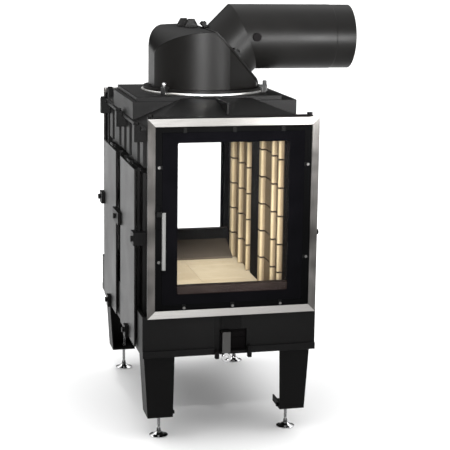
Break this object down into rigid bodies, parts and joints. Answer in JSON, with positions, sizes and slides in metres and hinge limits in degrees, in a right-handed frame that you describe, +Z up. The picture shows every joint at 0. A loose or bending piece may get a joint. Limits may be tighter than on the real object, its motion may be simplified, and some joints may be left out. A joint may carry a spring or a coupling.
{
  "type": "fireplace insert",
  "caption": "Tall see-through wood-burning fireplace insert with glazed doors front and rear, turning dome and flue elbow, on sheet legs with levelling feet.",
  "frame": {"origin": "middle of the outer box's bottom: on the floor, half way between the clamps on the left side and the flue pipe's end, half way between the two handles", "axes": "+Z up, -Y out of the front door, +X toward the flue pipe's end"},
  "size_m": [0.7462, 0.906, 1.255],
  "materials": {
    "cast_iron_black": "matte black",
    "sheet_black": "satin black heat-proof paint",
    "cover_grey": "satin dark grey",
    "raw_steel": "bare steel",
    "stainless": "brushed stainless",
    "bright_chrome": "bright",
    "clear_glass": "clear",
    "rope": "woven glass fibre rope",
    "firebrick": "rough pale clay"
  },
  "bodies": {
    "firebox_body": {"front_frame_casting": "cast_iron_black", "rear_frame_casting": "cast_iron_black", "left_side_casting": "cast_iron_black", "right_side_casting": "cast_iron_black", "top_plate": "cast_iron_black", "dome_seat": "cast_iron_black", "front_base_panel": "cast_iron_black", "rear_base_panel": "cast_iron_black", "sloping_sills": "cast_iron_black", "base_tray": "sheet_black", "deck_plate": "sheet_black", "base_skirts": "sheet_black", "air_inlet_collar": "sheet_black", "lever_guides": "sheet_black", "front_left_leg": "sheet_black", "front_right_leg": "sheet_black", "rear_left_leg": "sheet_black", "rear_right_leg": "sheet_black", "duct_walls": "sheet_black", "hoods": "sheet_black", "front_hinges_and_keeper": "sheet_black", "rear_hinges_and_keeper": "sheet_black", "cover_clamps": "sheet_black", "top_lugs": "sheet_black", "dome_clamps": "sheet_black", "side_cover_plates": "cover_grey", "air_port_plate": "raw_steel", "ceiling_plate": "raw_steel", "smoke_deflector": "raw_steel", "dome_ring": "raw_steel", "hearth_slabs": "firebrick", "wall_firebricks": "firebrick"},
    "front_door": {"front_trim_frame": "stainless", "front_door_frame": "cast_iron_black", "front_glass": "clear_glass", "front_glass_clips": "bright_chrome", "front_door_seal": "rope"},
    "rear_door": {"rear_trim_frame": "stainless", "rear_door_frame": "cast_iron_black", "rear_glass": "clear_glass", "rear_glass_clips": "bright_chrome", "rear_door_seal": "rope"},
    "front_latch": {"front_handle": "stainless", "front_latch_spindle": "raw_steel"},
    "rear_latch": {"rear_handle": "stainless", "rear_latch_spindle": "raw_steel"},
    "air_control": {"air_slide_plate": "raw_steel", "air_lever": "raw_steel", "air_lever_knob": "bright_chrome"},
    "turning_dome": {"dome": "cast_iron_black", "outlet_flange": "raw_steel", "outlet_clips": "sheet_black"},
    "turning_elbow": {"elbow_neck": "sheet_black", "flue_pipe": "sheet_black", "test_port_plug": "sheet_black"},
    "foot_front_left": {"front_left_foot": "bright_chrome"},
    "foot_front_right": {"front_right_foot": "bright_chrome"},
    "foot_rear_left": {"rear_left_foot": "bright_chrome"},
    "foot_rear_right": {"rear_right_foot": "bright_chrome"}
  },
  "joints": [
    {"name": "front_door_hinge", "type": "hinge", "parent": "firebox_body", "child": "front_door", "pos_m": [0.14115, -0.413, 0.6705], "axis": [0, 0, 1], "range_deg": [0, 95]},
    {"name": "rear_door_hinge", "type": "hinge", "parent": "firebox_body", "child": "rear_door", "pos_m": [-0.32485, 0.413, 0.6705], "axis": [0, 0, 1], "range_deg": [0, 95]},
    {"name": "front_handle_turn", "type": "hinge", "parent": "front_door", "child": "front_latch", "pos_m": [-0.30985, -0.424, 0.69], "axis": [0, -1, 0], "range_deg": [0, 85]},
    {"name": "rear_handle_turn", "type": "hinge", "parent": "rear_door", "child": "rear_latch", "pos_m": [0.12615, 0.424, 0.69], "axis": [0, 1, 0], "range_deg": [0, 85]},
    {"name": "air_slide", "type": "slide", "parent": "firebox_body", "child": "air_control", "axis": [1, 0, 0], "range_m": [0, 0.05]},
    {"name": "dome_swivel", "type": "hinge", "parent": "firebox_body", "child": "turning_dome", "pos_m": [-0.09185, 0, 0.997], "axis": [0, 0, 1], "continuous": true},
    {"name": "elbow_swivel", "type": "hinge", "parent": "turning_dome", "child": "turning_elbow", "pos_m": [-0.01985, 0, 1.106], "axis": [0.7071, 0, 0.7071], "continuous": true},
    {"name": "front_left_foot_thread", "type": "hinge", "parent": "firebox_body", "child": "foot_front_left", "pos_m": [-0.28685, -0.326, 0.04], "axis": [0, 0, 1], "continuous": true},
    {"name": "front_right_foot_thread", "type": "hinge", "parent": "firebox_body", "child": "foot_front_right", "pos_m": [0.10315, -0.326, 0.04], "axis": [0, 0, 1], "continuous": true},
    {"name": "rear_left_foot_thread", "type": "hinge", "parent": "firebox_body", "child": "foot_rear_left", "pos_m": [-0.28685, 0.326, 0.04], "axis": [0, 0, 1], "continuous": true},
    {"name": "rear_right_foot_thread", "type": "hinge", "parent": "firebox_body", "child": "foot_rear_right", "pos_m": [0.10315, 0.326, 0.04], "axis": [0, 0, 1], "continuous": true}
  ]
}
